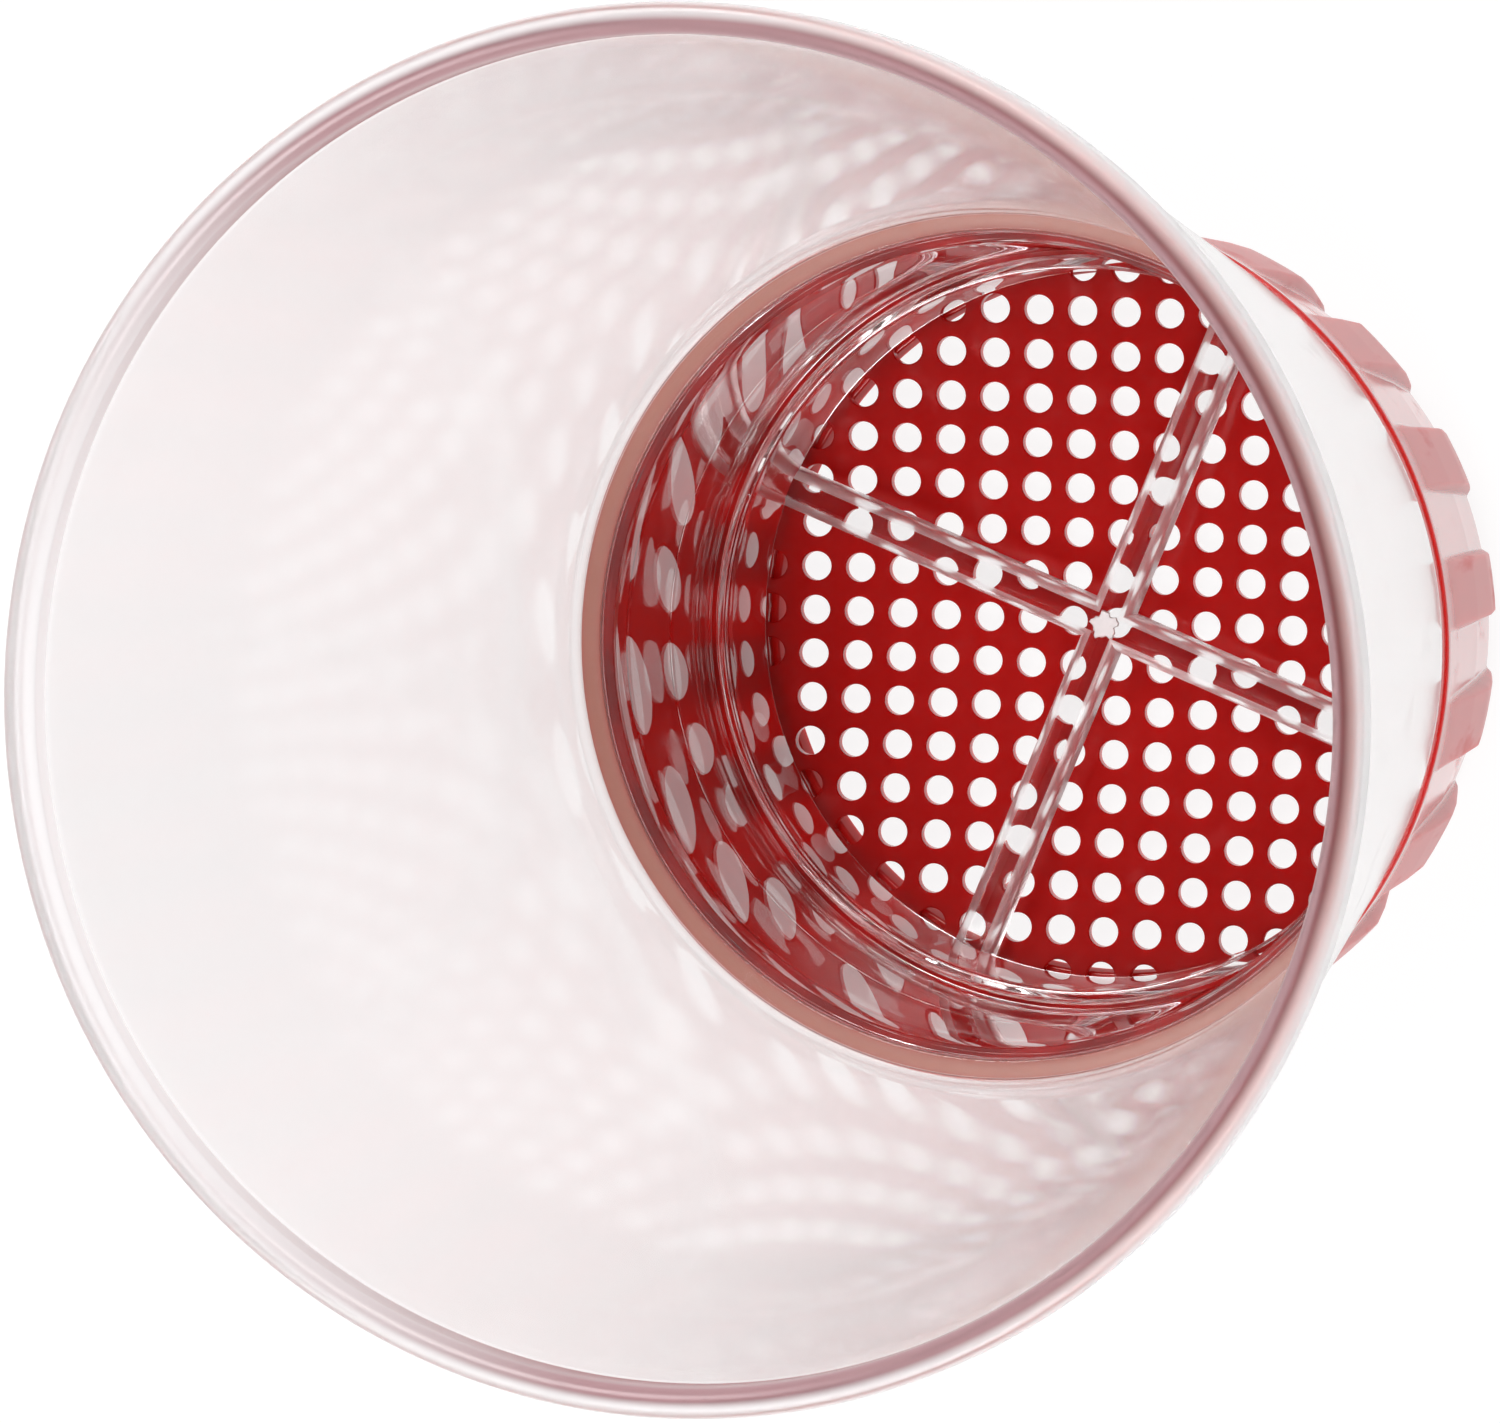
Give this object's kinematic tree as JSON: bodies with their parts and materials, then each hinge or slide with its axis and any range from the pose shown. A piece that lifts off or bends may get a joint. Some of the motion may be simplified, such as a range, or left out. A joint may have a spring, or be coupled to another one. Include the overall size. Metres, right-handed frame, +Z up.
{
  "type": "salad spinner",
  "caption": "Clear tapered salad vessel turning by its neck in a fluted strainer cup, with a drop-in cross ring over a domed perforated floor.",
  "frame": {"origin": "centre of the circle that the strainer cup's foot stands on", "axes": "+Z up the common axis towards the open mouth, X along the rows of drain holes"},
  "size_m": [0.1422, 0.1422, 0.218],
  "materials": {
    "clear_vessel": "clear, moulded gloss",
    "clear_insert": "clear, moulded gloss",
    "seal": "satin silicone",
    "red_cup": "moulded gloss",
    "red_disc": "moulded gloss"
  },
  "bodies": {
    "cup": {"strainer_cup": "red_cup", "strainer_disc": "red_disc"},
    "seal": {"seal_ring": "seal"},
    "vessel": {"vessel": "clear_vessel"},
    "cross": {"cross_ring": "clear_insert"}
  },
  "joints": [
    {"name": "vessel_lift", "type": "slide", "parent": "cup", "child": "seal", "axis": [0, 0, 1], "range_m": [0, 0.09]},
    {"name": "vessel_turn", "type": "hinge", "parent": "seal", "child": "vessel", "pos_m": [0, 0, 0.074], "axis": [0, 0, 1], "continuous": true},
    {"name": "cross_ring_lift", "type": "slide", "parent": "cup", "child": "cross", "axis": [0, 0, 1], "range_m": [0, 0.215]}
  ]
}
